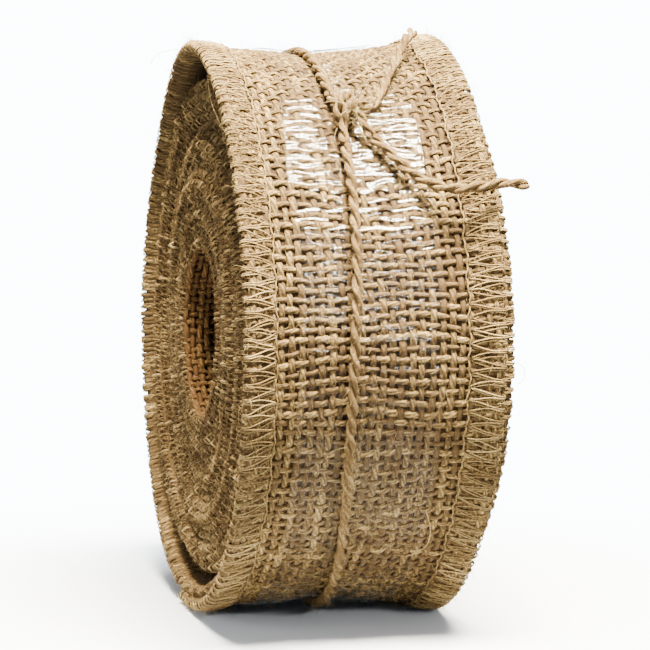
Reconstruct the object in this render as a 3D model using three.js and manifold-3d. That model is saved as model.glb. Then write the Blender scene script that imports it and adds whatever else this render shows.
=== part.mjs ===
// A coreless roll of woven jute ribbon, standing on its rim, with a clear film band round the
// middle of the tread and a two-ply jute twine tied round it. Millimetres, +Z up. The roll's
// axis is along X, and the origin is on the ground under the middle of the roll.
import * as THREE from 'three';
import { mergeVertices } from 'three/addons/utils/BufferGeometryUtils.js';
import Module from 'manifold-3d';

const wasm = await Module();
wasm.setup();

// ---- driving dimensions ----
const RIBBON_LENGTH = 4572;
const RIBBON_WIDTH = 60;
const HEM_WIDTH = 7.6;
const HEM_THICKNESS = 2.15;
const CLOTH_THICKNESS = 1.3;
const TURN_GAP = 0.36;
const SEAM_GAP = 0.4;
const EYE_RADIUS = 19.5;
const EYE_OVAL = 1.8;
const END_ANGLE = -99;
const OUTER_TURN_SLACK = 1.2;
const TOP_SLACK = 2.2;
const WAIST_LEFT = 3.3;
const WAIST_RIGHT = 3.5;
const STACK_SHIFT = 1.5;
const OUTER_SHIFT = -2.2;
const SOLE_CUT = 1;
const THREAD = 0.6;
const STITCH_PITCH = 3;
const CLEARANCE = 0.3;
const FILM_WIDTH = 34;
const FILM_THICKNESS = 0.3;
const FILM_CENTRE = -2.8;
const FILM_LAP = 0.05;
const FILM_LAP_ANGLE = 171;
const TWINE = 2.8;
// the hems hang just low enough for the twine to clear the ground
const BOTTOM_SLACK = TWINE + 0.475 - HEM_THICKNESS / 2;
const KNOT_ANGLE = 51.5;
const KNOT_X = -3;
const KNOT_SIZE = 0.768 * TWINE;

// ---- the roll as a formula ----
const STEPS_PER_TURN = 20;
const RAD = Math.PI / 180;
const PITCH = HEM_THICKNESS + TURN_GAP;
const ROOT = Math.sqrt(4 * EYE_RADIUS ** 2 + 4 * PITCH * RIBBON_LENGTH / Math.PI);
const STEPS = Math.round((ROOT - 2 * EYE_RADIUS) / (2 * PITCH) * STEPS_PER_TURN);
const TURNS = STEPS / STEPS_PER_TURN;

const smooth = (low, high, v) => THREE.MathUtils.smoothstep(v, low, high);

// a soft hump, 1 in the middle and 0 beyond the given number of degrees to each side
function hump(angle, halfWidth) {
  const d = THREE.MathUtils.euclideanModulo(angle + 180, 360) - 180;
  return Math.abs(d) < halfWidth ? Math.cos(Math.PI / 2 * d / halfWidth) ** 2 : 0;
}

// turns are counted from the innermost end; angle 0 is the front, 90 the top, -90 the bottom
const angleAt = (turn) => END_ANGLE + 360 * (TURNS - turn);

function radiusAt(turn) {
  const angle = angleAt(turn);
  const loose = smooth(TURNS - 1.12, TURNS - 1, turn);
  const slack = OUTER_TURN_SLACK + TOP_SLACK * hump(angle - 95, 75);
  const oval = EYE_OVAL * (1 - turn / TURNS) * Math.cos(2 * angle * RAD);
  return EYE_RADIUS + PITCH * turn + loose * slack - oval;
}

// the turns are stacked unevenly, and the outermost one has slipped to the left, least at the back
function shiftAt(turn) {
  const wander = 0.7 * Math.sin(1.7 * turn) + 0.4 * Math.sin(0.61 * turn + 1);
  const stack = STACK_SHIFT + wander - STACK_SHIFT * (1 - smooth(0.5, 3, turn));
  const slipped = 1 - 0.45 * hump(angleAt(turn) - 185, 80);
  const loose = smooth(TURNS - 1.25, TURNS - 0.95, turn) * slipped;
  return stack * (1 - loose) + OUTER_SHIFT * loose;
}

// the tie squeezes the middle of the outer turns, so the hems stand higher than the web, and
// most of all at the bottom, where the outermost turn's hems hang loose
function hemRise(turn, x) {
  const across = THREE.MathUtils.clamp((Math.abs(x) - RIBBON_WIDTH / 2 + HEM_WIDTH) / HEM_WIDTH, 0, 1);
  const squeezed = (x < 0 ? WAIST_LEFT : WAIST_RIGHT) * smooth(TURNS - 1.7, TURNS - 0.8, turn);
  const loose = smooth(TURNS - 1.12, TURNS - 1, turn);
  return across * (squeezed + BOTTOM_SLACK * loose * hump(angleAt(turn) + 90, 60));
}

function cylindrical(x, radius, angle) {
  const y = -radius * Math.cos(angle * RAD);
  return new THREE.Vector3(x, y, radius * Math.sin(angle * RAD));
}

// a point on the ribbon: turns along it, x across it and a height off its middle layer
function onRibbon(turn, x, height) {
  const radius = radiusAt(turn) + hemRise(turn, x) + height;
  return cylindrical(x + shiftAt(turn), radius, angleAt(turn));
}

// the outermost surface at an angle, with the step at the ribbon's end bridged
function tread(angle) {
  const part = THREE.MathUtils.euclideanModulo(END_ANGLE + 360 - angle, 360) / 360;
  const step = radiusAt(TURNS) - radiusAt(TURNS - 1);
  return radiusAt(TURNS - 1 + part) + step * (1 - smooth(0, 0.15, part)) + CLOTH_THICKNESS / 2;
}

const SOLE = radiusAt(TURNS - 1.5 / STEPS_PER_TURN) * Math.cos(Math.PI / STEPS_PER_TURN)
  + Math.min(WAIST_LEFT, WAIST_RIGHT) + BOTTOM_SLACK + HEM_THICKNESS / 2 - SOLE_CUT;

// ---- solids ----
// bends a straight box or bar, whose vertices are x, height and turns, onto the roll
function bend(geometry, place) {
  geometry.deleteAttribute('normal');
  geometry.deleteAttribute('uv');
  const merged = mergeVertices(geometry, 1e-4);
  const position = merged.attributes.position;
  for (let i = 0; i < position.count; i += 1) {
    const p = place(position.getX(i), position.getY(i), position.getZ(i));
    position.setXYZ(i, p.x, p.y, p.z);
  }
  return outward(merged);
}

// turns a closed mesh's faces outward
function outward(geometry) {
  const p = geometry.attributes.position;
  const index = geometry.index.array;
  let volume = 0;
  const corners = [new THREE.Vector3(), new THREE.Vector3(), new THREE.Vector3()];
  for (let i = 0; i < index.length; i += 3) {
    corners.forEach((corner, k) => corner.fromBufferAttribute(p, index[i + k]));
    volume += corners[0].dot(corners[1].clone().cross(corners[2]));
  }
  if (volume < 0) {
    for (let i = 0; i < index.length; i += 3) {
      [index[i + 1], index[i + 2]] = [index[i + 2], index[i + 1]];
    }
  }
  geometry.computeVertexNormals();
  return geometry;
}

function toSolid(geometry) {
  const clean = geometry.clone();
  clean.deleteAttribute('normal');
  clean.deleteAttribute('uv');
  const merged = mergeVertices(clean, 1e-4);
  const vertProperties = new Float32Array(merged.attributes.position.array);
  const triVerts = new Uint32Array(merged.index.array);
  return new wasm.Manifold(new wasm.Mesh({ numProp: 3, vertProperties, triVerts }));
}

function toGeometry(solid) {
  const mesh = solid.getMesh();
  const geometry = new THREE.BufferGeometry();
  geometry.setAttribute('position', new THREE.BufferAttribute(new Float32Array(mesh.vertProperties), 3));
  geometry.setIndex(new THREE.BufferAttribute(new Uint32Array(mesh.triVerts), 1));
  geometry.computeVertexNormals();
  return geometry;
}

// a round tube of the given diameter along a curve
function tube(curve, diameter, steps, sides = 8) {
  const section = new THREE.Shape();
  section.absarc(0, 0, diameter / 2, 0, 2 * Math.PI);
  const options = { steps, curveSegments: sides, extrudePath: curve, bevelEnabled: false };
  const geometry = new THREE.ExtrudeGeometry(section, options);
  geometry.deleteAttribute('normal');
  geometry.deleteAttribute('uv');
  return outward(mergeVertices(geometry, 1e-4));
}

// ---- materials ----
const jute = new THREE.MeshStandardMaterial({ color: 0xc4ab84, roughness: 0.95, metalness: 0 });
const hemJute = new THREE.MeshStandardMaterial({ color: 0xcbb592, roughness: 0.95, metalness: 0 });
const sewing = new THREE.MeshStandardMaterial({ color: 0xd2c0a0, roughness: 0.85, metalness: 0 });
const film = new THREE.MeshStandardMaterial({ color: 0xe6e6e2, roughness: 0.12, metalness: 0 });
const twine = new THREE.MeshStandardMaterial({ color: 0xb3915f, roughness: 0.9, metalness: 0 });

const roll = new THREE.Group();
const tie = new THREE.Group();
const group = new THREE.Group();
group.add(roll, tie);

function add(parent, name, geometry, material) {
  const mesh = new THREE.Mesh(geometry, material);
  mesh.name = name;
  parent.add(mesh);
}

// ---- the ribbon: a woven web with a folded hem along each edge ----
const webWidth = RIBBON_WIDTH - 2 * HEM_WIDTH - 2 * SEAM_GAP;
const webStrip = new THREE.BoxGeometry(webWidth, CLOTH_THICKNESS, TURNS, 1, 1, STEPS);
webStrip.translate(0, 0, TURNS / 2);
add(roll, 'ribbon_web', bend(webStrip, (x, height, turn) => onRibbon(turn, x, height)), jute);

// each hem is pressed flat where it carries the roll's weight
const ground = new THREE.BoxGeometry(200, 200, 20);
ground.translate(0, 0, -SOLE - 10);
const groundSolid = toSolid(ground);
for (const [side, name] of [[-1, 'left'], [1, 'right']]) {
  const strip = new THREE.BoxGeometry(HEM_WIDTH, HEM_THICKNESS, TURNS, 1, 1, STEPS);
  strip.translate(side * (RIBBON_WIDTH - HEM_WIDTH) / 2, 0, TURNS / 2);
  const hem = bend(strip, (x, height, turn) => onRibbon(turn, x, height));
  add(roll, `hem_${name}`, toGeometry(toSolid(hem).subtract(groundSolid)), hemJute);
}

// the needle thread runs straight along each hem, and the looper thread slants to and fro over it;
// where the roll rests they are pressed into the hem, so these runs stop short of it
const first = TURNS - 1 + 2 / STEPS_PER_TURN;
const last = TURNS - 2 / STEPS_PER_TURN;
const stitches = Math.round(2 * Math.PI * radiusAt(TURNS - 0.5) * (last - first) / STITCH_PITCH);
const onHem = HEM_THICKNESS / 2 + CLEARANCE + THREAD / 2;
for (const [side, name] of [[-1, 'left'], [1, 'right']]) {
  const seam = RIBBON_WIDTH / 2 - HEM_WIDTH + THREAD;
  const run = new THREE.BoxGeometry(THREAD, THREAD, last - first, 1, 1, STEPS_PER_TURN - 4);
  run.translate(side * seam, onHem, (first + last) / 2);
  add(roll, `needle_thread_${name}`, bend(run, (x, height, turn) => onRibbon(turn, x, height)), sewing);

  const mitre = 2.6;
  const inner = seam + THREAD / 2 + CLEARANCE + mitre * THREAD * 0.62;
  const outer = RIBBON_WIDTH / 2 - mitre * THREAD * 0.62;
  const zigzag = new THREE.CylinderGeometry(THREAD * 0.62, THREAD * 0.62, 2 * stitches, 3, 2 * stitches);
  zigzag.rotateX(Math.PI / 2);
  zigzag.translate(0, 0, stitches);
  const stitch = bend(zigzag, (dx, dy, count) => {
    const middle = Math.round(count);
    const x = (middle % 2 ? outer : inner) + mitre * dx;
    const turn = first + (last - first) * (count / (2 * stitches));
    return onRibbon(turn, side * x, onHem + 0.1 + dy);
  });
  add(roll, `looper_thread_${name}`, stitch, sewing);
}

// ---- the clear film band, lapped on itself at the back ----
const filmSteps = Math.round((1 + FILM_LAP) * STEPS_PER_TURN * 2);
const filmStrip = new THREE.BoxGeometry(FILM_WIDTH, FILM_THICKNESS, 1 + FILM_LAP, 1, 1, filmSteps);
filmStrip.translate(FILM_CENTRE, 0, (1 + FILM_LAP) / 2);
const filmHeight = CLEARANCE + FILM_THICKNESS / 2;
add(roll, 'film_band', bend(filmStrip, (x, height, along) => {
  const angle = FILM_LAP_ANGLE - 360 * along;
  const lap = (FILM_THICKNESS + CLEARANCE) * smooth(0.9, 1, along);
  return cylindrical(x, tread(angle) + filmHeight + lap + height, angle);
}), film);

// ---- the twine: loop, knot and two tails ----
function twineRadius(angle) {
  const lap = Math.min(1, 1.6 * hump(angle - FILM_LAP_ANGLE - 10, 70));
  const overFilm = 3 * CLEARANCE + FILM_THICKNESS + lap * (FILM_THICKNESS + CLEARANCE);
  return tread(angle) + overFilm + TWINE / 2;
}

// where the loop lies: degrees round the roll and millimetres across it; both ends stop short of
// the knot, which is larger in a thicker twine
const fat = TWINE / 2.8;
const loopRoute = [
  [KNOT_ANGLE - 7 * fat, -5], [33.5, -5.2], [22, -5.8], [11.5, -6.5], [0, -7.3], [-12, -7.6], [-26, -7], [-41, -5.5],
  [-55, -4], [-75, -2.4], [-99, -2.2], [-125, -3], [-150, -4.4], [-175, -5.9], [-200, -7.2],
  [-225, -6.6], [-248, -5.6], [-268, -4.8], [-280, -5], [-290, -5.3], [-297, -5.4], [KNOT_ANGLE - 360 + 7.5 * fat, -5.4],
];
const loopCurve = new THREE.CatmullRomCurve3(
  loopRoute.map(([angle, x]) => cylindrical(x, twineRadius(angle), angle)),
);
add(tie, 'twine_loop', tube(loopCurve, TWINE, 50), twine);

// the knot is the twine crossing itself three times in a small closed knot
const knotHeight = twineRadius(KNOT_ANGLE) + 0.68 * TWINE;
const knotPlace = new THREE.Matrix4().makeRotationX(Math.PI / 2 - KNOT_ANGLE * RAD);
knotPlace.setPosition(cylindrical(KNOT_X, knotHeight, KNOT_ANGLE));
class KnotArc extends THREE.Curve {
  constructor(start, end) {
    super();
    this.start = start;
    this.end = end;
  }

  getPoint(u, target = new THREE.Vector3()) {
    const s = 2 * Math.PI * THREE.MathUtils.lerp(this.start, this.end, u);
    const x = KNOT_SIZE * (Math.sin(s) + 2 * Math.sin(2 * s)) * 0.62;
    const y = KNOT_SIZE * (Math.cos(s) - 2 * Math.cos(2 * s)) * 0.72;
    return target.set(x, y, -0.518 * TWINE * Math.sin(3 * s)).applyMatrix4(knotPlace);
  }
}
let knot = toSolid(tube(new KnotArc(-0.01, 1 / 3), TWINE, 8, 7));
for (const k of [1, 2]) {
  knot = knot.add(toSolid(tube(new KnotArc(k / 3 - 0.01, (k + 1) / 3), TWINE, 8, 7)));
}
add(tie, 'twine_knot', toGeometry(knot), twine);

// the tails lie loosely where they were cut: millimetres across the roll and above the tread,
// and degrees round it
const upperTail = [
  [3.4, 3.3, 54.6], [5.8, 3.5, 57.5], [9.2, 3.8, 63.5], [12.5, 5, 68], [15.2, 7, 72],
  [17.6, 8.4, 75], [20.6, 8.8, 79],
];
const lowerTail = [
  [1.6, 3.2, 46], [3.6, 3.2, 43.8], [6.2, 3.2, 40.5], [9, 3.6, 37.2], [12.8, 4.6, 34.3],
  [16.5, 6.5, 32.2], [20.5, 8.2, 31.6], [25, 8.6, 32], [29.6, 8.6, 32.4], [35, 8.4, 32],
];
const spread = RIBBON_WIDTH / 60;
for (const [points, name] of [[upperTail, 'upper'], [lowerTail, 'lower']]) {
  const route = new THREE.CatmullRomCurve3(
    points.map(([x, height, angle]) => {
      const round = KNOT_ANGLE + (angle - KNOT_ANGLE) * fat;
      const across = KNOT_X + (x * spread - KNOT_X) * fat;
      return cylindrical(across, tread(round) + height * fat, round);
    }),
  );
  add(tie, `twine_tail_${name}`, tube(route, TWINE, 14), twine);
}

const middle = new THREE.Box3().setFromObject(roll).getCenter(new THREE.Vector3());
group.position.set(-middle.x, -middle.y, SOLE);

export default group;
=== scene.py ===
import math
import bmesh
import bpy
import numpy as np
from mathutils import Matrix


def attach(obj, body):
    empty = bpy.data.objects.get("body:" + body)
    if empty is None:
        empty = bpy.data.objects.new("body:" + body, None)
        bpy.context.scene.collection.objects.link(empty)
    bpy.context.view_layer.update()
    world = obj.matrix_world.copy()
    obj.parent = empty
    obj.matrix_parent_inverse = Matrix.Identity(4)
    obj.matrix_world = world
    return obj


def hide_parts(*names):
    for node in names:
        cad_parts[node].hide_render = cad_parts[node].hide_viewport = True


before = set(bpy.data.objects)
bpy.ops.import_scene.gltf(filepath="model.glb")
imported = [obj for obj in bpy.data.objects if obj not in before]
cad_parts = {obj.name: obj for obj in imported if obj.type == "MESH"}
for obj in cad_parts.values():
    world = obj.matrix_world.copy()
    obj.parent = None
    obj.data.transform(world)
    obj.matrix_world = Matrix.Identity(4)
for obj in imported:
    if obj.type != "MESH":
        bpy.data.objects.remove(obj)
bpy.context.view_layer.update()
MM = 0.001


def add(name, data):
    """A new object, linked into the scene."""
    made = bpy.data.objects.new(name, data)
    bpy.context.scene.collection.objects.link(made)
    return made


def grid(name, columns, rows, strip=0):
    """Faces in rows, to be bent into shape; with strip, one row in every strip is left out."""
    bm = bmesh.new()
    bmesh.ops.create_grid(bm, x_segments=columns, y_segments=rows, size=1.0)
    if strip:
        bm.faces.ensure_lookup_table()
        between = [f for f in bm.faces if (f.index // columns + 1) % strip == 0]
        bmesh.ops.delete(bm, geom=between, context="FACES")
    mesh = bpy.data.meshes.new(name)
    bm.to_mesh(mesh)
    bm.free()
    return mesh


def node(tree, kind, settings=()):
    """A shader node. A key in small letters is a property, and any other is an input."""
    made = tree.nodes.new("ShaderNode" + kind)
    for key, value in dict(settings).items():
        if isinstance(key, str) and key[0].islower():
            setattr(made, key, value)
        elif isinstance(value, bpy.types.NodeSocket):
            tree.links.new(value, made.inputs[key])
        else:
            made.inputs[key].default_value = value
    return made


def maths(tree, operation, *terms, clamp=False):
    """The output of a Math node whose terms are numbers or other outputs."""
    settings = {"operation": operation, "use_clamp": clamp, **dict(enumerate(terms))}
    return node(tree, "Math", settings).outputs[0]


def ramp(tree, source, stops):
    made = node(tree, "ValToRGB", {0: source})
    elements = made.color_ramp.elements
    while len(elements) < len(stops):
        elements.new(0.5)
    for element, (place, colour) in zip(elements, stops):
        element.position = place
        element.color = (*colour, 1)
    return made.outputs[0]


# ---- camera, floor and light ----
# The roll stands on a white studio table. The camera is a long lens a little above the middle
# of the tread, turned enough to the left to see one end of the roll.
axle = np.array([-0.18, 0.66, 69.35]) * MM
CAMERA_DISTANCE = 0.7
azimuth, elevation, tilt = (math.radians(v) for v in (-14.06, 6.0, 0.5))
back = np.array([math.sin(azimuth) * math.cos(elevation),
                 -math.cos(azimuth) * math.cos(elevation), math.sin(elevation)])
right = np.array([math.cos(azimuth), math.sin(azimuth), 0.0])
up = np.cross(back, right)
right_tilted = math.cos(tilt) * right + math.sin(tilt) * up
up_tilted = math.cos(tilt) * up - math.sin(tilt) * right
camera_data = bpy.data.cameras.new("camera")
camera_data.sensor_width = 36.0
camera_data.lens = 155.8
camera_data.shift_x = 0.0169
camera_data.shift_y = 0.004
camera_data.clip_start = 0.01
camera = add("camera", camera_data)
pose = Matrix.Identity(4)
for row in range(3):
    pose[row][0], pose[row][1], pose[row][2] = right_tilted[row], up_tilted[row], back[row]
    pose[row][3] = axle[row] + CAMERA_DISTANCE * back[row]
camera.matrix_world = pose
bpy.context.scene.camera = camera


def area_light(name, place, target, size, size_y, power, colour=(1, 1, 1)):
    """A rectangular lamp turned towards its target."""
    data = bpy.data.lights.new(name, "AREA")
    data.shape = "RECTANGLE"
    data.size, data.size_y, data.energy, data.color = size, size_y, power, colour
    place, target = np.array(place, float), np.array(target, float)
    z = (place - target) / np.linalg.norm(place - target)
    x = np.cross([0, 0, 1], z)
    x = x / np.linalg.norm(x)
    y = np.cross(z, x)
    lamp = add(name, data)
    lamp.matrix_world = Matrix([[x[i], y[i], z[i], place[i]] for i in range(3)] + [[0, 0, 0, 1]])


area_light("overhead_softbox", (0.04, -0.24, 0.86), (0, 0, 0.08), 0.46, 0.26, 225.0, (1.0, 0.925, 0.74))
area_light("crest_strip", (-0.06, 0.30, 0.84), (0, 0, 0.10), 0.34, 0.05, 9.0)
area_light("front_strip", (0.30, -0.95, 0.44), (0, 0, 0.08), 0.34, 0.06, 9.0)
area_light("left_fill", (-1.20, -0.35, 0.45), (0, 0, 0.07), 0.7, 0.7, 17.0)

# a white studio: bright where it is seen behind the table, softer as a light
world = bpy.data.worlds.new("studio")
world.use_nodes = True
world_tree = world.node_tree
background = world_tree.nodes["Background"]
background.inputs["Color"].default_value = (0.88, 0.95, 1.0, 1)
path = node(world_tree, "LightPath")
level = node(world_tree, "MapRange", {"Value": path.outputs["Is Camera Ray"],
                                      "To Min": 0.6, "To Max": 14.0})
world_tree.links.new(level.outputs["Result"], background.inputs["Strength"])
bpy.context.scene.world = world

table_mesh = grid("table", 1, 1)
table = add("table", table_mesh)
table_white = bpy.data.materials.new("table_white")
table_white.use_nodes = True
table_tree = table_white.node_tree
table_shader = table_tree.nodes["Principled BSDF"]
table_shader.inputs["Base Color"].default_value = (0.44, 0.46, 0.49, 1)
table_shader.inputs["Roughness"].default_value = 0.9
# the table fades into the white of the studio away from the roll
table_place = node(table_tree, "TexCoord")
table_reach = node(table_tree, "VectorMath", {"operation": "LENGTH", 0: table_place.outputs["Object"]})
table_fade = node(table_tree, "MapRange", {
    "interpolation_type": "SMOOTHSTEP", "Value": table_reach.outputs["Value"],
    "From Min": 0.045, "From Max": 0.18, "To Min": 1.0, "To Max": 0.0})
table_tree.links.new(table_fade.outputs["Result"], table_shader.inputs["Alpha"])
table_mesh.materials.append(table_white)

# ---- the shape of the wound ribbon ----
# A spiral round the axle, in millimetres and degrees. A turn counts from the eye outwards, and
# an angle is 0 at the front and 90 at the top. Every piece lies on this shape.
WIDTH, HEM, CLOTH = 60.0, 7.6, 1.3
EYE, OVAL, PITCH = 19.5, 1.8, 2.51
TURNS, CUT_END = 17.55, -99
OUTER = TURNS - 1
TWINE = 2.8
CLEAR_OF_TABLE = 0.0005


def smooth(low, high, value):
    """0 up to low and 1 from high on, eased between them."""
    s = np.clip((value - low) / (high - low), 0, 1)
    return s * s * (3 - 2 * s)


def hump(angle, half_width):
    """1 at an angle of 0, easing to 0 at half_width on each side."""
    d = (angle + 180) % 360 - 180
    return np.where(np.abs(d) < half_width, np.cos(np.pi / 2 * d / half_width) ** 2, 0.0)


def angle_at(turn):
    return CUT_END + 360 * (TURNS - turn)


def slackness(turn):
    """1 on the outermost turn, which has slackened off, and 0 on the others."""
    return smooth(TURNS - 1.12, OUTER, turn)


def radius_at(turn):
    angle = angle_at(turn)
    slack = 1.2 + 2.2 * hump(angle - 95, 75)
    oval = OVAL * (1 - turn / TURNS) * np.cos(2 * np.radians(angle))
    return EYE + PITCH * turn + slackness(turn) * slack - oval


def shift_at(turn):
    """How far a turn has slipped along the axle."""
    wander = 0.7 * np.sin(1.7 * turn) + 0.4 * np.sin(0.61 * turn + 1)
    stack = 1.5 + wander - 1.5 * (1 - smooth(0.5, 3, turn))
    slipped = 1 - 0.45 * hump(angle_at(turn) - 185, 80)
    outer = smooth(TURNS - 1.25, TURNS - 0.95, turn)
    drawn_in = 2.3 * outer * hump(angle_at(turn) - 128, 60)
    return stack * (1 - outer * slipped) - 2.2 * outer * slipped + drawn_in


def near_top(angle):
    return hump(angle - 90, 80)


def near_bottom(angle):
    return hump(angle + 90, 72)


def fullness(angle, x):
    """How far the outermost turn stands off at the top and bottom, less where the twine grips it."""
    reach = (x / 30) ** 2
    top = 1.9 * (1 - 0.5 * np.exp(-((x + 2.8) / 4.0) ** 2)) + np.where(x < 0, 2.0, 4.1) * reach
    bottom = 2.0 * (1 - 0.5 * np.exp(-(x / 4.0) ** 2)) + np.where(x < 0, 0.9, 3.4) * reach
    return near_top(angle) * top + near_bottom(angle) * bottom


def hem_rise(turn, x):
    """How far the ribbon stands off its spiral, at its thick hems and where it is slack."""
    across = np.clip((np.abs(x) - WIDTH / 2 + HEM) / HEM, 0, 1)
    squeezed = np.where(x < 0, 3.3, 3.5) * smooth(TURNS - 1.7, TURNS - 0.8, turn)
    loose = slackness(turn)
    angle = angle_at(turn)
    evened = 1 - loose * (near_top(angle) + near_bottom(angle))
    # under the slack turn the middles of the next few spread out towards it
    spread = 4.6 * hump(angle - 92, 70) + 2.0 * hump(angle + 90, 65)
    spread = spread * (1 - smooth(8, 22, np.abs(x))) * smooth(TURNS - 6, TURNS - 1.3, turn) * (1 - loose)
    return across * squeezed * evened + loose * fullness(angle, x) + spread


def cylindrical(x, radius, angle):
    """Points given along the axle, out from it and round it."""
    a = np.radians(angle)
    x, radius, a = np.broadcast_arrays(x, radius, a)
    return np.stack([x, -radius * np.cos(a), radius * np.sin(a)], -1) * MM + axle


def tread(angle):
    """The radius of the outermost turn's outer face."""
    part = ((CUT_END + 360 - angle) % 360) / 360
    step = radius_at(TURNS) - radius_at(OUTER)
    return radius_at(OUTER + part) + step * (1 - smooth(0, 0.15, part)) + CLOTH / 2


def on_tread(route):
    """Points from rows of place across, height above the tread and angle round the roll."""
    x, height, angle = np.array(route).T
    return cylindrical(x, tread(angle) + height, angle)


def on_ribbon(turn, x, height):
    """Points on the ribbon: how far along it, across it and above its middle."""
    turn, x, height = np.broadcast_arrays(turn, x, height)
    a = np.radians(angle_at(turn))
    inner = 1 - smooth(TURNS - 2.4, TURNS - 1.6, turn)
    swell = inner * (0.9 * np.sin(a + 0.45 * turn + 0.6)
                     + 0.5 * np.sin(2 * a - 1.1 * turn) * smooth(0, 3, turn))
    swell = swell * smooth(15, 26, np.abs(x))
    points = cylindrical(x + swell + shift_at(turn), radius_at(turn) + hem_rise(turn, x) + height,
                         angle_at(turn))
    # pressed flat where it rests
    points[..., 2] = np.maximum(points[..., 2], CLEAR_OF_TABLE)
    return points


def unit(vectors):
    return vectors / np.maximum(np.linalg.norm(vectors, axis=-1, keepdims=True), 1e-12)


def outward_at(points):
    """The direction straight out from the axle at each point."""
    out = points - axle
    out[..., 0] = 0
    return unit(out)


def through(points, rows):
    """A smooth line of evenly spaced points through a few given ones."""
    p = np.asarray(points, float)
    p = np.vstack([2 * p[0] - p[1], p, 2 * p[-1] - p[-2]])
    fine = []
    for k in range(1, len(p) - 2):
        u = np.linspace(0, 1, 40, endpoint=False)[:, None]
        a, b, c, d = p[k - 1:k + 3]
        fine.append(0.5 * (2 * b + (c - a) * u + (2 * a - 5 * b + 4 * c - d) * u ** 2
                           + (3 * b - a - 3 * c + d) * u ** 3))
    fine = np.vstack(fine + [p[-2:-1]])
    run = np.concatenate([[0], np.cumsum(np.linalg.norm(np.diff(fine, axis=0), axis=1))])
    at = np.linspace(0, run[-1], rows)
    return np.stack([np.interp(at, run, fine[:, i]) for i in range(3)], -1)


def lay_uv(mesh, across, along):
    """Write the UV map that the fibres follow, from a value per column and a value per row."""
    corner = np.empty(len(mesh.loops), int)
    mesh.loops.foreach_get("vertex_index", corner)
    uv = np.stack([across[corner % len(across)], along[corner // len(across)]], -1)
    mesh.uv_layers.new(name="run").data.foreach_set("uv", uv.reshape(-1))


def strands(name, line, facing, half_width, half_height, sides, shade, body, material):
    """Round or flat threads, each closed at both ends, as one mesh: line is threads x rows x 3."""
    line = np.asarray(line, float)
    count, rows = line.shape[:2]
    along = unit(np.gradient(line, axis=1))
    wide = unit(np.cross(np.broadcast_to(facing, line.shape), along))
    tall = np.cross(along, wide)
    half_width = np.broadcast_to(half_width, (count, rows))[..., None, None] * MM
    half_height = np.broadcast_to(half_height, (count, rows))[..., None, None] * MM
    around = np.linspace(0, 2 * np.pi, sides + 1)[None, None, :, None]
    ring = (line[:, :, None] + wide[:, :, None] * np.cos(around) * half_width
            + tall[:, :, None] * np.sin(around) * half_height)
    # each end is drawn together to a point
    ring = np.concatenate([np.repeat(line[:, :1, None], sides + 1, 2), ring,
                           np.repeat(line[:, -1:, None], sides + 1, 2)], 1)
    run = np.cumsum(np.linalg.norm(np.diff(line, axis=1, prepend=line[:, :1]), axis=-1), axis=1)
    run = np.concatenate([run[:, :1], run, run[:, -1:]], 1)
    shade = np.broadcast_to(shade, (count, rows))
    shade = np.concatenate([shade[:, :1], shade, shade[:, -1:]], 1)

    mesh = grid(name, sides, count * (rows + 2) - 1, strip=rows + 2)
    mesh.vertices.foreach_set("co", ring.reshape(-1))
    tone = mesh.attributes.new("shade", "FLOAT", "POINT")
    tone.data.foreach_set("value", np.repeat(shade.reshape(-1), sides + 1))
    lay_uv(mesh, np.arange(sides + 1) / sides, run.reshape(-1))
    bm = bmesh.new()
    bm.from_mesh(mesh)
    bmesh.ops.remove_doubles(bm, verts=bm.verts, dist=2e-7)
    bm.to_mesh(mesh)
    bm.free()
    mesh.shade_smooth()
    mesh.materials.append(material)
    piece = add(name, mesh)
    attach(piece, body)
    return piece


# spun bast fibre: slanting fibre streaks that follow the thread, blotches and flecks
spun = bpy.data.node_groups.new("spun_fibre", "ShaderNodeTree")
for socket, default in (("Streaks", 5.0), ("Slant", 220.0), ("Fleck size", 900.0)):
    group_input = spun.interface.new_socket(socket, in_out="INPUT", socket_type="NodeSocketFloat")
    group_input.default_value = default
for socket in ("Tone", "Height"):
    spun.interface.new_socket(socket, in_out="OUTPUT", socket_type="NodeSocketFloat")
inside = spun.nodes.new("NodeGroupInput")
result = spun.nodes.new("NodeGroupOutput")
parts = node(spun, "SeparateXYZ", {0: node(spun, "UVMap", {"uv_map": "run"}).outputs[0]})
turned = maths(spun, "MULTIPLY", parts.outputs[0], inside.outputs["Streaks"])
slid = maths(spun, "MULTIPLY", parts.outputs[1], inside.outputs["Slant"])
phase = maths(spun, "ADD", turned, slid)
place = node(spun, "TexCoord").outputs["Object"]
fleck = node(spun, "TexNoise", {"Vector": place, "Scale": inside.outputs["Fleck size"],
                                "Detail": 3.0, "Roughness": 0.6}).outputs[0]
warped = maths(spun, "MULTIPLY_ADD", fleck, 1.6, phase)
streak = maths(spun, "SINE", maths(spun, "MULTIPLY", warped, 2 * math.pi))
blotch = node(spun, "TexNoise", {"Vector": place, "Scale": 110.0, "Detail": 2.0}).outputs[0]
shade_value = node(spun, "Attribute", {"attribute_name": "shade"}).outputs["Fac"]
tone = maths(spun, "MULTIPLY", streak, 0.13)
tone = maths(spun, "MULTIPLY_ADD", fleck, 0.75, tone)
tone = maths(spun, "MULTIPLY_ADD", blotch, 0.35, tone)
tone = maths(spun, "ADD", tone, shade_value)
tone = maths(spun, "SUBTRACT", tone, 0.55, clamp=True)
spun.links.new(tone, result.inputs["Tone"])
spun.links.new(maths(spun, "MULTIPLY_ADD", streak, 0.4, fleck), result.inputs["Height"])


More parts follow.
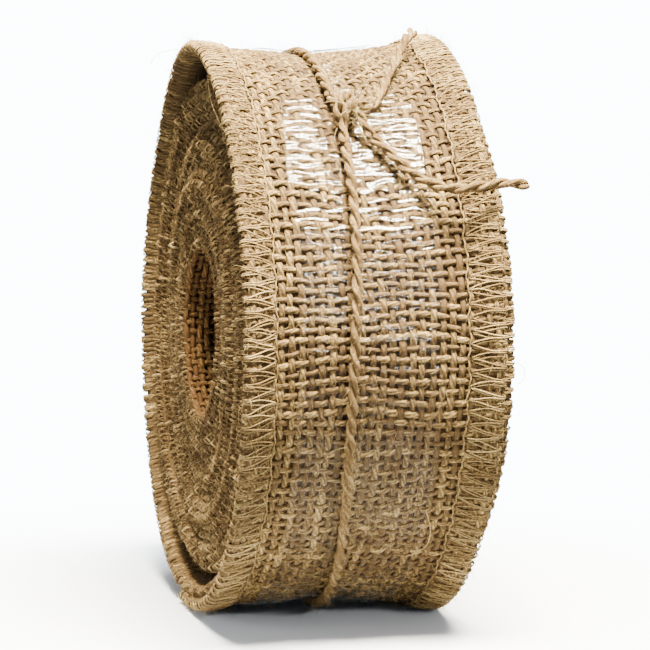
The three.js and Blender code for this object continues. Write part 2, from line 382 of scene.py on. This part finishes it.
def fibre_material(name, stops, streaks, slant, fleck_size, relief):
    """Jute or thread: stops are the tones from the darkest fibres to the palest."""
    made = bpy.data.materials.new(name)
    made.use_nodes = True
    tree = made.node_tree
    shader = tree.nodes["Principled BSDF"]
    shader.inputs["Roughness"].default_value = 0.9
    shader.inputs["Specular IOR Level"].default_value = 0.15
    fibre = tree.nodes.new("ShaderNodeGroup")
    fibre.node_tree = spun
    fibre.inputs["Streaks"].default_value = streaks
    fibre.inputs["Slant"].default_value = slant
    fibre.inputs["Fleck size"].default_value = fleck_size
    tree.links.new(ramp(tree, fibre.outputs["Tone"], stops), shader.inputs["Base Color"])
    bump = node(tree, "Bump", {"Strength": relief, "Distance": 0.00012,
                               "Height": fibre.outputs["Height"]})
    tree.links.new(bump.outputs[0], shader.inputs["Normal"])
    return made


# ---- the twine's two free tails ----
# Two-ply jute twine, 2.8 mm thick, with its cut ends left loose after the knot. One tail climbs
# towards the top of the tread, the other reaches out past the right hem.
twine_jute = fibre_material("twine_jute", ((0.0, (0.065, 0.036, 0.011)), (0.3, (0.175, 0.116, 0.045)),
                                           (0.65, (0.32, 0.230, 0.105)), (1.0, (0.54, 0.425, 0.235))),
                            3.0, 260.0, 1600.0, 0.8)
PLY_OFFSET, PLY_RADIUS, ROW_STEP = 0.60, 0.70, 0.4
random = np.random.default_rng(11)


def twine(name, line, lay=9.5, unlay=0.0):
    """Two plies laid round each other along a line, opening at its end by the share unlay."""
    line = np.asarray(line, float)
    run = np.concatenate([[0], np.cumsum(np.linalg.norm(np.diff(line, axis=0), axis=1))])
    rows = int(run[-1] / (ROW_STEP * MM))
    at = np.linspace(0, run[-1], rows)
    line = np.stack([np.interp(at, run, line[:, i]) for i in range(3)], -1)
    along = unit(np.gradient(line, axis=0))
    side = unit(np.cross(outward_at(line), along))
    out = np.cross(along, side)
    turn = 2 * np.pi * at / (lay * MM) + 0.5 * np.sin(at * 90)
    end = np.minimum(at, at[-1] - at)
    swell = 1 + 0.07 * np.sin(at * 700 + 1) + 0.05 * np.sin(at * 1900)
    loose = 1 + unlay * np.clip(1 - (at[-1] - at) / 0.004, 0, 1) ** 2
    plies = []
    for k in range(2):
        a = (turn + k * np.pi)[:, None]
        round_line = out * np.cos(a) + side * np.sin(a)
        plies.append(line + round_line * (PLY_OFFSET * MM * swell * loose)[:, None])
    fat = PLY_RADIUS * swell * np.sqrt(np.clip(end / 0.0006, 0.15, 1))
    return strands(name, plies, out, fat, fat, 9, np.array([[0.0], [0.06]]) + 0.05 * np.sin(at * 400),
                   "twine_tie", twine_jute)


tail_routes = {
    "upper": [(3.4, 3.3, 54.6), (5.8, 3.5, 57.5), (9.2, 3.8, 63.5), (12.5, 5, 68), (15.2, 7, 72),
              (17.6, 8.4, 75), (20.6, 8.8, 79)],
    "lower": [(1.6, 3.2, 46), (3.6, 3.2, 43.8), (6.2, 3.2, 40.5), (9, 3.6, 37.2), (12.8, 4.6, 34.3),
              (16.5, 6.5, 32.2), (20.5, 8.2, 31.6), (25, 8.6, 32), (29.6, 8.6, 32.4), (35, 8.4, 32)],
}
for side_name, route in tail_routes.items():
    tail_line = through(on_tread(route), 60)
    tail = twine(f"twine_{side_name}_tail", tail_line, unlay=0.35)
    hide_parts(f"twine_tail_{side_name}")

# ---- the twine's loop and knot ----
# The same twine, pulled tight round the roll over the film and tied in an overhand knot near
# the top of the tread. The loop leans to the left towards the top.


def twine_radius(angle):
    """The loop's distance from the axle; it lies on the lap in the film and sinks in at the top."""
    lap = np.minimum(1, 1.6 * hump(angle - 181, 70))
    return tread(angle) + 1.2 + lap * 0.6 + TWINE / 2 - 0.7 * hump(angle - 97, 50)


# angle round the roll and place across it
loop_route = np.array([
    (44.5, -5), (33.5, -5.2), (22, -5.8), (11.5, -6.5), (0, -7.3), (-12, -7.6), (-26, -7),
    (-41, -5.5), (-55, -4), (-75, -2.4), (-99, -2.2), (-125, -3), (-150, -4.4), (-175, -5.9),
    (-200, -7.2), (-225, -6.6), (-248, -5.6), (-268, -4.8), (-280, -5), (-290, -5.3), (-297, -5.4),
    (-301, -5.4)])
around = np.linspace(loop_route[0, 0], loop_route[-1, 0], 400)
across = np.interp(-around, -loop_route[:, 0], loop_route[:, 1])
kernel = np.ones(15) / 15
across = np.convolve(np.pad(across, 7, mode="edge"), kernel, mode="valid")
loop = twine("twine_loop_piece", cylindrical(across, twine_radius(around), around))
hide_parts("twine_loop")

# each end of the loop crosses over, is gripped by one wrap and goes on as a tail
knot_lines = {
    "from_top": [(-5.4, 2.7, 59), (-4.6, 2.9, 56), (-3.6, 3.6, 53.4), (-2.4, 4.8, 51.6), (-1.0, 5.2, 50.2),
                 (0.2, 4.2, 48), (1.6, 3.2, 46)],
    "from_below": [(-5, 2.7, 44.5), (-5.0, 2.9, 47), (-4.4, 4.2, 49.6), (-3.2, 6.4, 51.6), (-1.6, 6.6, 53),
                   (0.4, 5.0, 54), (2.0, 3.7, 54.3), (3.4, 3.3, 54.6)],
    "wrap": [(-3.4, 1.9, 49.6), (-5.2, 2.6, 50.6), (-5.6, 4.8, 52.0), (-4.2, 6.9, 53.8), (-2.2, 6.8, 54.9),
             (-0.8, 4.6, 55.2), (-0.9, 2.2, 54.4), (-2.4, 1.8, 53)],
}
for knot_name, route in knot_lines.items():
    knot = twine(f"knot_{knot_name}", through(on_tread(route), 60), 8.0)
    if knot_name == "wrap":
        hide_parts("twine_knot")

# ---- the ribbon's cloth ----
# One strip of open plain-woven jute, 60 mm wide and about 4.6 m long, wound on itself with its
# edges folded under. Each turn is cloth, and the turns that can be looked at are woven below.
STRAW = ((0.0, (0.05, 0.028, 0.009)), (0.28, (0.20, 0.130, 0.044)), (0.6, (0.46, 0.335, 0.138)),
         (1.0, (0.75, 0.60, 0.31)))
# painted shade: the jute's tones made darker for the roll's end faces and the cloth's edges, which lie in
# shade
FACE_SHADE_TONES = ((0.0, (0.05, 0.027, 0.008)), (0.3, (0.19, 0.123, 0.046)), (0.65, (0.39, 0.28, 0.128)),
         (1.0, (0.60, 0.47, 0.27)))
# painted shade: the cloth's tones for where it lies in shadow under the weave
WEAVE_GAP_SHADE = ((0.0, (0.020, 0.010, 0.003)), (0.4, (0.095, 0.056, 0.020)), (1.0, (0.26, 0.18, 0.08)))
CLOTH_LENGTH = 4.572
inner_cloth = fibre_material("inner_cloth", FACE_SHADE_TONES, 1.0, 0.0, 1300.0, 0.9)
cloth_tree = inner_cloth.node_tree
cloth_fibre = next(n for n in cloth_tree.nodes if n.bl_idname == "ShaderNodeGroup")
edge_shade_tone = next(n for n in cloth_tree.nodes if n.bl_idname == "ShaderNodeValToRGB").outputs[0]
gap_shade_colour = ramp(cloth_tree, cloth_fibre.outputs["Tone"], WEAVE_GAP_SHADE)
# painted shade: darker between the hems, where the cloth lies in shadow under the woven yarns above it; at
# its edges it has the darker end-face tones, also painted shade
cloth_place = node(cloth_tree, "TexCoord")
cloth_xyz = node(cloth_tree, "SeparateXYZ", {0: cloth_place.outputs["Object"]})
edgeward = node(cloth_tree, "MapRange", {"Value": maths(cloth_tree, "ABSOLUTE", cloth_xyz.outputs[0]),
                                         "From Min": 0.0235, "From Max": 0.027})
cloth_mix = node(cloth_tree, "Mix", {"data_type": "RGBA", 0: edgeward.outputs[0], 6: gap_shade_colour, 7: edge_shade_tone})
cloth_tree.links.new(cloth_mix.outputs[2], cloth_tree.nodes["Principled BSDF"].inputs["Base Color"])

# the cloth's section, across the ribbon and above its middle, swept along every turn
section = np.array([
    (-28.6, 1.0), (-24, 0.95), (-22, 0.3), (-11, 0.3), (0, 0.3), (11, 0.3), (22, 0.3), (24, 0.95),
    (28.6, 1.0), (29.5, 0), (28.6, -1.0), (24, -0.95), (22, -0.5), (0, -0.5), (-22, -0.5), (-24, -0.95),
    (-28.6, -1.0), (-29.5, 0)])
turns = np.linspace(0, TURNS - 0.014, 1400)
cloth_mesh = grid("wound_cloth", len(section), len(turns) - 1)
ring = np.vstack([section, section[:1]])
ring_x, ring_height, turn = ring[None, :, 0], ring[None, :, 1], turns[:, None]
sunk = 0.75 * (1 - smooth(1.0, 1.08, turn)) - 0.45 * smooth(TURNS - 1.02, TURNS - 0.98, turn)
wobble = 0.12 * np.sin(turn * 61 + ring_x) + 0.1 * np.sin(turn * 173)
# the inner turns are pressed against each other, so each fills half the pitch above and below
HALF_PITCH = 1.23
past_eye = smooth(1.1, 1.3, turn)
packed_above = past_eye * (1 - smooth(TURNS - 2.2, TURNS - 2.05, turn))
packed_below = past_eye * (1 - smooth(TURNS - 1.15, TURNS - 1.05, turn))
thick = np.where(ring_height > 0, packed_above, packed_below) * (HALF_PITCH - np.abs(ring_height))
thick = thick * (np.abs(ring_x) < 29) * np.sign(ring_height)
cloth_points = on_ribbon(turn, ring_x + wobble, ring_height + sunk + thick)
cloth_mesh.vertices.foreach_set("co", cloth_points.reshape(-1))
lay_uv(cloth_mesh, ring[:, 0] * MM, CLOTH_LENGTH * np.arange(len(turns)) / len(turns))
bm = bmesh.new()
bm.from_mesh(cloth_mesh)
bmesh.ops.remove_doubles(bm, verts=bm.verts, dist=1e-7)
bmesh.ops.holes_fill(bm, edges=[e for e in bm.edges if e.is_boundary], sides=0)
bmesh.ops.recalc_face_normals(bm, faces=bm.faces)
bm.to_mesh(cloth_mesh)
bm.free()
cloth_mesh.shade_smooth()
cloth_mesh.materials.append(inner_cloth)
cloth = add("wound_cloth", cloth_mesh)
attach(cloth, "roll")
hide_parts("ribbon_web", "hem_left", "hem_right")

# ---- the woven yarns of the outermost turn ----
# Single jute yarns, uneven and a little flattened, about ten to the inch each way. The wefts
# cross the ribbon and fold under at its edges; the warps run round the roll.
straw_yarn = fibre_material("straw_yarn", STRAW, 4.0, 420.0, 1500.0, 0.7)
CRIMP, WEFT_STEP, WARP_STEP = 0.40, 2.38, 2.36
hem_warps = np.array([23.5, 25.3, 27.1, 28.7])
warp_x = np.concatenate([-hem_warps[::-1], np.arange(-9, 10) * WARP_STEP, hem_warps])
LAST_WARP = len(warp_x) - 1
# across and above the ribbon: a weft's end tucked under, and one bent right round the edge
TUCK = np.array([(30.0, 0.2), (30.25, -0.4), (29.95, -1.0), (28.4, -1.35), (25.0, -1.3)])
BEND = np.array([(22.8, 0.0), (24.0, 0.5), (25.7, 0.55), (27.4, 0.5), (29.0, 0.45), (30.0, 0.15),
                 (30.3, -0.45), (29.9, -1.05), (28.6, -1.35), (26.6, -1.3), (24.6, -1.2), (23.2, -0.9)])


def girth(first, last):
    """The way round the roll, in millimetres, midway between two turns."""
    return 2 * math.pi * ((radius_at(first) + radius_at(last)) / 2)


def drift(turn, x):
    """How far the weave is pulled out of true, along the ribbon, in millimetres."""
    return 0.55 * np.sin(turn * 37 + x * 0.11) + 0.35 * np.sin(turn * 83 - x * 0.23 + 1)


def fold_lift(x):
    """How far the yarns are lifted by the edge folded under them."""
    return 0.55 * smooth(21.8, 24, np.abs(x)) - 0.3 * smooth(28.8, 30.2, np.abs(x))


def wefts(name, first, last, material, low=0, sides=5, fold=True, face=1, lower=0.0):
    """Yarns across the ribbon, from the warp called low, folded under where they reach an edge."""
    round_it = girth(first, last)
    count = int(round_it * (last - first) / WEFT_STEP)
    step = (last - first) / count
    index = np.arange(count)[:, None]
    v = np.arange(low - 0.4, LAST_WARP + 0.41, 0.32)[None, :]
    x = np.interp(v, np.arange(len(warp_x)), warp_x) * np.ones((count, 1))
    height = -CRIMP * np.cos(np.pi * (v + index)) * face
    turn = first + (index + 0.5) * step
    wander = np.clip(random.normal(0, 1, (count, 3)), -1.6, 1.6)
    sway = (0.16 * wander[:, :1] * np.sin(x * 0.21 + 6 * wander[:, 1:2])
            + 0.12 * np.sin(x * 0.9 + 9 * wander[:, 2:]))
    turn = turn + (drift(turn, x) + sway) / round_it
    size = 0.76 * (1 + 0.12 * wander[:, :1]) * (1 + 0.10 * np.sin(x * 0.5 + 5 * wander[:, 1:2]))
    size = size * (1 + 0.08 * np.cos(np.pi * (v + index)))
    height = height + fold_lift(x) * face - lower
    for side in (-1, 1):
        if not fold or (side < 0 and low > 0):
            continue
        tuck_x = side * TUCK[:, 0] + 0.25 * wander[:, 1:2]
        tuck_height = np.broadcast_to(TUCK[:, 1], tuck_x.shape)
        if side < 0:
            x, height = np.hstack([tuck_x[:, ::-1], x]), np.hstack([tuck_height[:, ::-1], height])
            turn = np.hstack([np.repeat(turn[:, :1], len(TUCK), 1), turn])
            size = np.hstack([np.repeat(size[:, :1], len(TUCK), 1) * 0.9, size])
        else:
            x, height = np.hstack([x, tuck_x]), np.hstack([height, tuck_height])
            turn = np.hstack([turn, np.repeat(turn[:, -1:], len(TUCK), 1)])
            size = np.hstack([size, np.repeat(size[:, -1:], len(TUCK), 1) * 0.9])
    line = on_ribbon(turn, x, height)
    shade = 0.07 * wander[:, :1] + 0.07 * np.sin(x * 0.8 + 7 * wander[:, 1:2])
    return strands(name, line, outward_at(line), size, size * 0.62, sides, shade, "roll", material)


def edge_folds(name, first, last, side, material):
    """The folded-back ends of the wefts, lying between them and round the edge."""
    round_it = girth(first, last)
    count = int(round_it * (last - first) / WEFT_STEP)
    wander = random.normal(0, 1, (count, 3))
    turn = first + (np.arange(count)[:, None] + 1.0 + 0.12 * wander[:, :1]) * (last - first) / count
    turn = np.minimum(turn, last)
    x = side * (BEND[None, :, 0] + 0.18 * wander[:, 1:2])
    turn = turn + (drift(turn, x) + 0.2 * wander[:, 2:] * np.sin(x * 0.5)) / round_it
    line = on_ribbon(turn, x, BEND[None, :, 1])
    size = 0.66 * (1 + 0.14 * wander[:, 2:])
    return strands(name, line, outward_at(line), size, size * 0.6, 5, 0.1 * wander[:, :1] - 0.03,
                   "roll", material)


def warps(name, first, last, material, low=0, sides=5, face=1, lower=0.0):
    """Yarns round the roll, passing over and under the wefts."""
    round_it = girth(first, last)
    count = int(round_it * (last - first) / WEFT_STEP)
    step = (last - first) / count
    u = np.arange(-0.4, count - 0.6, 0.33)[None, :]
    which = np.arange(low, len(warp_x))[:, None]
    turn = first + (u + 0.5) * step
    wander = np.clip(random.normal(0, 1, (len(which), 3)), -1.6, 1.6)
    x = (warp_x[which] + 0.22 * np.sin(u * 0.31 + 6 * wander[:, :1])
         + 0.14 * np.sin(u * 0.83 + 9 * wander[:, 1:2]))
    height = CRIMP * np.cos(np.pi * (u + which)) * face
    turn = turn + drift(turn, x) / round_it
    size = 0.84 * (1 + 0.10 * wander[:, 2:]) * (1 + 0.14 * np.sin(u * 0.7 + 5 * wander[:, :1]))
    size = size * (1 - 0.08 * np.cos(np.pi * (u + which)))
    line = on_ribbon(turn, x, height + fold_lift(x) * face - lower)
    shade = 0.07 * wander[:, :1] + 0.07 * np.sin(u * 0.37 + 7 * wander[:, 1:2])
    return strands(name, line, outward_at(line), size, size * 0.62, sides, shade, "roll", material)


LAST = TURNS - 0.012
outer_wefts = wefts("outer_wefts", OUTER, LAST, straw_yarn)
outer_warps = warps("outer_warps", OUTER, LAST, straw_yarn)
for side, label in ((-1, "left"), (1, "right")):
    folds = edge_folds(f"outer_folds_{label}", OUTER, LAST, side, straw_yarn)

# ---- the overlock stitches ----
# Thin spun thread sewn over each folded edge: a needle thread runs straight along the inside of
# the hem, and looper threads slant between it and the edge, where they wrap round.
THREAD = ((0.0, (0.10, 0.060, 0.020)), (0.35, (0.27, 0.190, 0.080)), (0.7, (0.47, 0.355, 0.160)),
          (1.0, (0.71, 0.58, 0.31)))
STITCH = 3.05
sewing_thread = fibre_material("sewing_thread", THREAD, 2.0, 900.0, 2500.0, 0.4)


def stitch_line(first, last, side, seed, lift=0.0):
    """One looper thread over one hem: across the ribbon, along it and above it, stitch by stitch."""
    pick = np.random.default_rng(seed)
    count = int(girth(first, last) * (last - first) / STITCH)
    per_mm = (last - first) / (STITCH * count)
    route = []
    for k in range(count):
        a, b, c, d = pick.normal(0, 0.28, 4)
        s = STITCH * k
        route += [(22.9 + 0.7 * a, s + 0.1 + 0.5 * c, 1.05), (24.6, s + 0.5 + 0.8 * b, 1.42),
                  (27.2, s + 1.2 + 0.8 * b, 1.36), (29.5, s + 1.5 + 0.6 * c, 1.05),
                  (30.62 + 0.15 * a, s + 1.6 + 0.6 * c, 0.3), (30.5, s + 1.75 + 0.6 * c, -0.9),
                  (30.62 + 0.15 * d, s + 1.9 + 0.6 * c, 0.2), (29.4, s + 1.9 + 0.6 * c, 1.2),
                  (27.0, s + 2.1 + 0.9 * d, 1.4), (24.5, s + 2.65 + 0.9 * d, 1.38)]
    x, s, h = np.array(route).T
    return through(on_ribbon(first + s * per_mm, side * x, h + lift), 3 * len(route))


def stitches(label, first, last, side, seed):
    """Two looper threads, one a little behind and above the other, and the needle thread."""
    made = []
    for k, (start, end, lift) in enumerate(((first, last, 0.0), (first + 0.0035, last - 0.0005, 0.14))):
        line = stitch_line(start, end, side, seed + k, lift)
        made.append(strands(f"looper_{label}_{k}", line[None], outward_at(line[None]), 0.15, 0.15, 4,
                            0.1 + 0.12 * np.sin(np.arange(len(line)) * 0.05), "roll", sewing_thread))
    # the needle thread dips into the cloth once a stitch
    count = int(girth(first, last) * (last - first) / STITCH)
    u = np.linspace(0, count, count * 8)
    turn = first + (last - first) * u / count
    run_line = on_ribbon(turn, side * (22.6 + 0.25 * np.sin(u * 2.1) + 0.12 * np.sin(u * 6.28)),
                         0.75 + 0.55 * np.abs(np.sin(np.pi * u)) ** 0.5)
    made.append(strands(f"needle_{label}", run_line[None], outward_at(run_line[None]), 0.21, 0.2, 4,
                        0.05, "roll", sewing_thread))
    return made


for side, label, seed in ((-1, "left", 3), (1, "right", 5)):
    looper, _, needle = stitches(label, OUTER, LAST, side, seed)
    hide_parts(f"looper_thread_{label}")
    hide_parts(f"needle_thread_{label}")

# ---- the second turn's right hem ----
# The outermost turn has slipped to the left, so a strip of the next turn's hem shows beside it.
under_wefts = wefts("under_wefts", OUTER - 1, OUTER, straw_yarn, low=22)
under_warps = warps("under_warps", OUTER - 1, OUTER, straw_yarn, low=22)
under_folds = edge_folds("under_folds", OUTER - 1, OUTER, 1, straw_yarn)
stitches("under_right", OUTER - 1, OUTER, 1, 9)

# ---- the edges of the wound turns ----
# On each end of the roll the folded edges of all the turns stand in rows, with the looper
# threads wrapped round them and the cloth's own yarn bends showing between.
# painted shade: the edges take the darker jute tones painted for the end faces
edge_jute = fibre_material("edge_jute", FACE_SHADE_TONES, 3.0, 500.0, 1500.0, 0.9)
ALONG_AXLE = np.array([1.0, 0, 0.02])
PER_WRAP = 7


def turn_at(share, last):
    """The turn at a share of the ribbon's length up to the turn called last."""
    return (np.sqrt(EYE ** 2 + share * (radius_at(last) ** 2 - EYE ** 2)) - EYE) / PITCH


for side, label, last_turn, gap in ((-1, "left", OUTER, 1.4), (1, "right", OUTER - 1, 2.3)):
    length = math.pi * (radius_at(last_turn) ** 2 - EYE ** 2) / PITCH
    wraps = int(length / gap)
    turn = np.clip(turn_at(np.linspace(0, 1, wraps * PER_WRAP), last_turn), 0, last_turn)
    phase = 2 * np.pi * np.arange(len(turn)) / PER_WRAP
    jitter = np.repeat(random.normal(0, 0.28, wraps), PER_WRAP)
    x = side * (28.9 + 1.05 * np.cos(phase) + jitter)
    line = on_ribbon(turn + 0.0012 * np.cos(phase), x, 1.2 * np.sin(phase))[None]
    shade = (0.05 + 0.12 * np.sin(np.arange(line.shape[1]) * 0.031)
             + 0.06 * np.repeat(random.normal(0, 1, wraps), PER_WRAP))
    wrap = strands(f"edge_wraps_{label}", line, outward_at(line), 0.155 * gap, 0.14 * gap, 4, shade,
                   "roll", edge_jute)

    count = int(length / gap / 1.08)
    turn = turn_at((np.arange(count) + 0.5) / count, last_turn)[:, None]
    bend = np.array([(26.5, 0.95), (29.2, 0.85), (30.0, 0), (29.2, -0.85), (26.5, -0.95)])
    wander = random.normal(0, 1, (count, 2))
    x = side * (bend[None, :, 0] + 0.3 * wander[:, :1])
    line = on_ribbon(turn + 0.0016 * wander[:, 1:], x, np.broadcast_to(bend[:, 1], x.shape))
    bends = strands(f"edge_bends_{label}", line, ALONG_AXLE, 0.42, 0.36, 4, 0.03 + 0.10 * wander[:, :1],
                    "roll", edge_jute)

# ---- the innermost turn, seen in the eye ----
# The same cloth seen from its other face, with its colours painted darker and browner for the
# shade in the eye. Its yarns are pressed a little into the turn behind them.
EYE_END = 1.05
eye_jute = fibre_material("eye_jute", ((0.0, (0.050, 0.022, 0.005)), (0.35, (0.170, 0.092, 0.026)),
                                       (0.7, (0.34, 0.215, 0.080)), (1.0, (0.52, 0.39, 0.19))),
                          4.0, 420.0, 1500.0, 0.7)
eye_wefts = wefts("eye_wefts", 0.0, EYE_END, eye_jute, sides=4, fold=False, face=-1, lower=0.45)
eye_warps = warps("eye_warps", 0.0, EYE_END, eye_jute, sides=4, face=-1, lower=0.45)

# ---- the clear film band ----
# Clear glossy film drawn tight round the middle of the roll and lapped on itself at the back.
# It has puckered where the cloth under it gives, so it catches the light in broken streaks.
film = bpy.data.materials.new("clear_film")
film.use_nodes = True
tree = film.node_tree
shader = tree.nodes["Principled BSDF"]
shader.inputs["Base Color"].default_value = (0.96, 0.96, 0.95, 1)
shader.inputs["Metallic"].default_value = 1.0
shader.inputs["Roughness"].default_value = 0.07
place = node(tree, "TexCoord").outputs["Object"]
grazing = maths(tree, "POWER", node(tree, "LayerWeight", {"Blend": 0.5}).outputs["Facing"], 6.0)
haze = node(tree, "TexNoise", {"Vector": place, "Scale": 140.0, "Detail": 3.0}).outputs[0]
# painted sheen: hazier and more reflective on the upper half, where the overhead light falls, clearer below
film_height = node(tree, "SeparateXYZ", {0: place}).outputs[2]
painted_top_sheen = node(tree, "MapRange", {"interpolation_type": "SMOOTHSTEP", "Value": film_height, "From Min": 0.045,
                               "From Max": 0.105, "To Min": 0.005, "To Max": 0.016}).outputs[0]
haze_and_top_sheen = maths(tree, "MULTIPLY", haze, painted_top_sheen)
tree.links.new(maths(tree, "MULTIPLY_ADD", grazing, 0.26, haze_and_top_sheen, clamp=True), shader.inputs["Alpha"])

FILM_WIDTH, FILM_THICKNESS, FILM_COLUMNS, LAP_START = 34.0, 0.06, 36, 171
# turns of the band; rows stand closest at the front and top, where the film is seen best
along = np.concatenate([np.linspace(0, 0.17, 60, endpoint=False),
                        np.linspace(0.17, 0.68, 640, endpoint=False),
                        np.linspace(0.68, 1.05, 170)])[:, None]
film_mesh = grid("film_band_sheet", FILM_COLUMNS, len(along) - 1)
angle = LAP_START - 360 * along
gathered = hump(angle - 95, 62)
x = np.linspace(-FILM_WIDTH / 2, FILM_WIDTH / 2, FILM_COLUMNS + 1)[None, :]
x = x * (1 - 0.14 * gathered) + 2.4 * gathered
x = x - 2.8 + 0.35 * np.sin(along * 47) + 0.2 * np.sin(along * 131)
s = along * 420
patch = 0.5 + 0.5 * np.sin(0.31 * x + 1.7 * np.sin(0.13 * s)) * np.sin(0.19 * s + 1.3 * np.sin(0.37 * x))
over_wefts = np.sin(2.64 * s + 0.9 * np.sin(0.8 * x + 0.27 * s))
pucker = (0.20 * np.sin(0.52 * s + 1.5 * np.sin(0.24 * x)) * np.sin(0.29 * x + 0.9 + 0.8 * np.sin(0.11 * s))
          + 0.12 * over_wefts * (0.35 + 0.65 * patch) + 0.05 * np.sin(1.31 * s + 0.9 * x) * (1 - patch)
          + 0.11 * np.sin(1.05 * s + 1.9 * np.sin(0.33 * x + 0.2 * s)) * np.sin(0.45 * x + 1.2 + 0.1 * s)
          + 0.03 * np.abs(np.sin(0.9 * s - 0.7 * x + 2 * np.sin(0.2 * x))))
lap = 0.6 * smooth(0.9, 1, along)
film_points = cylindrical(x, tread(angle) + fullness(angle, x + 2.2) + 0.62 + lap + pucker, angle)
film_mesh.vertices.foreach_set("co", film_points.reshape(-1))
bm = bmesh.new()
bm.from_mesh(film_mesh)
bmesh.ops.recalc_face_normals(bm, faces=bm.faces)
bmesh.ops.solidify(bm, geom=list(bm.faces), thickness=FILM_THICKNESS * MM)
bmesh.ops.recalc_face_normals(bm, faces=bm.faces)
bm.to_mesh(film_mesh)
bm.free()
film_mesh.shade_smooth()
film_mesh.materials.append(film)
film_piece = add("film_band_sheet", film_mesh)
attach(film_piece, "roll")
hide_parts("film_band")

# ---- loose fibres ----
# Short hairs that stand off the yarns everywhere, thickest on the cut and folded edges, and a
# few longer strays.
hair_jute = fibre_material("hair_jute", THREAD, 1.0, 0.0, 1500.0, 0.1)


def hairs(name, roots, out, rows, length, thick, seed, body="roll", tone=0.15, lie=1.0):
    """Bent hairs from their roots; with a small lie they stay in the plane across the axle."""
    pick = np.random.default_rng(seed)
    n = len(roots)
    flow = unit(pick.normal(0, 1, (n, 3)) * [lie, 1, 1])
    bend = pick.normal(0, 1, (n, 3)) * [lie, 1, 1]
    reach = (length * pick.uniform(0.4, 1.3, n) * MM)[:, None, None]
    u = np.linspace(0, 1, rows)[None, :, None]
    lift = out[:, None] * (0.55 * u - 0.35 * u * u)
    line = roots[:, None] + reach * (flow[:, None] * u * 0.8 + lift + bend[:, None] * 0.3 * u * u)
    # none goes into the table
    line[..., 2] = np.maximum(line[..., 2], 0.0003)
    width = thick * (1 - 0.6 * np.linspace(0, 1, rows))[None, :]
    face = np.cross(flow, bend)[:, None]
    return strands(name, line, face, width, width, 3, tone + 0.10 * pick.normal(0, 1, (n, 1)), body,
                   hair_jute)


LOOP_HAIRS, KNOT_HAIRS, TREAD_HAIRS = 700, 60, 3600
LEFT_HAIRS, FACE_HAIRS, END_HAIRS = 10900, 15600, 260
share = random.uniform(0, 1, LOOP_HAIRS)
a = loop_route[0, 0] + share * (loop_route[-1, 0] - loop_route[0, 0])
ring_angle = random.uniform(0, np.pi, LOOP_HAIRS)
ways = outward_at(cylindrical(0.0, 1.0, a)) * np.sin(ring_angle)[:, None]
ways[:, 0] += np.cos(ring_angle)
roots = cylindrical(np.interp(-a, -around, across), twine_radius(a), a) + ways * 1.15 * MM
twine_hairs = hairs("twine_hairs", roots, ways, 5, 2.6, 0.04, 31, "twine_tie")
tail_points = np.vstack([through(on_tread(route), 90) for route in tail_routes.values()])
ways = unit(random.normal(0, 1, tail_points.shape))
tail_hairs = hairs("tail_hairs", tail_points + ways * 1.1 * MM, ways, 5, 2.4, 0.04, 32, "twine_tie")
ways = unit(random.normal(0, 1, (KNOT_HAIRS, 3)) + np.array([0, -0.8, 0.6]))
knot_roots = on_tread([(-2.6, 4.4, 51.5)]) + ways * 3.2 * MM
knot_hairs = hairs("knot_hairs", knot_roots, ways, 7, 6.5, 0.06, 33, "twine_tie", 0.45)

strays = {
    "front_stray": [(13.4, 1.6, -34), (15.2, 2.6, -38.5), (15.4, 2.9, -43), (13.8, 2.2, -46.5),
                    (12.0, 1.4, -49)],
    "edge_stray": [(30.6, 4.2, -1), (32.0, 4.6, -2.2), (32.2, 4.4, -4.2), (30.8, 4.0, -5.4)],
    "crest_stray": [(-31.5, 4.5, 104), (-33.5, 5.5, 108), (-34.6, 7.0, 113), (-35.2, 7.4, 118)],
    "pocket_stray": [(-31.2, -1.0, 74), (-32.0, -3.2, 65), (-31.4, -3.6, 57), (-30.6, -2.0, 50)],
}
for stray_name, route in strays.items():
    stray_line = through(on_tread(route), 40)[None]
    stray = strands(stray_name, stray_line, outward_at(stray_line), 0.07, 0.07, 4, 0.35, "roll", hair_jute)

turn = random.uniform(OUTER, TURNS, TREAD_HAIRS)
x = random.uniform(-30.3, 30.3, TREAD_HAIRS)
# about a third of them grow from the very edges
x = np.where(random.uniform(0, 1, TREAD_HAIRS) < 0.35,
             np.sign(x) * random.uniform(28.5, 30.6, TREAD_HAIRS), x)
roots = on_ribbon(turn, x, np.where(np.abs(x) > 22.5, 1.1, 0.45))
tread_hairs = hairs("tread_hairs", roots, outward_at(roots), 4, 2.4, 0.045, 21)
reach = np.sqrt(random.uniform(EYE ** 2, (EYE + PITCH * (TURNS - 0.03)) ** 2, FACE_HAIRS))
turn = (reach - EYE) / PITCH
for label, side, some in (("left", -1, slice(0, LEFT_HAIRS)), ("right", 1, slice(LEFT_HAIRS, FACE_HAIRS))):
    roots = on_ribbon(turn[some], side * 30.0, np.clip(random.normal(0, 0.6, len(turn[some])), -1.1, 1.1))
    ways = outward_at(roots) * 0.1 + np.array([side * 0.35, 0, 0])
    face_hairs = hairs(f"face_hairs_{label}", roots, ways, 3, 1.9, 0.055, 22 + side, tone=-0.04, lie=0.3)
fray_x = random.uniform(-30, 30, END_HAIRS)
roots = on_ribbon(LAST - 0.002, fray_x, random.uniform(-0.4, 0.6, END_HAIRS))
onward = np.cross(outward_at(roots), [1.0, 0, 0])
end_fray = hairs("end_fray", roots, onward * 1.6, 4, 3.6, 0.08, 25)
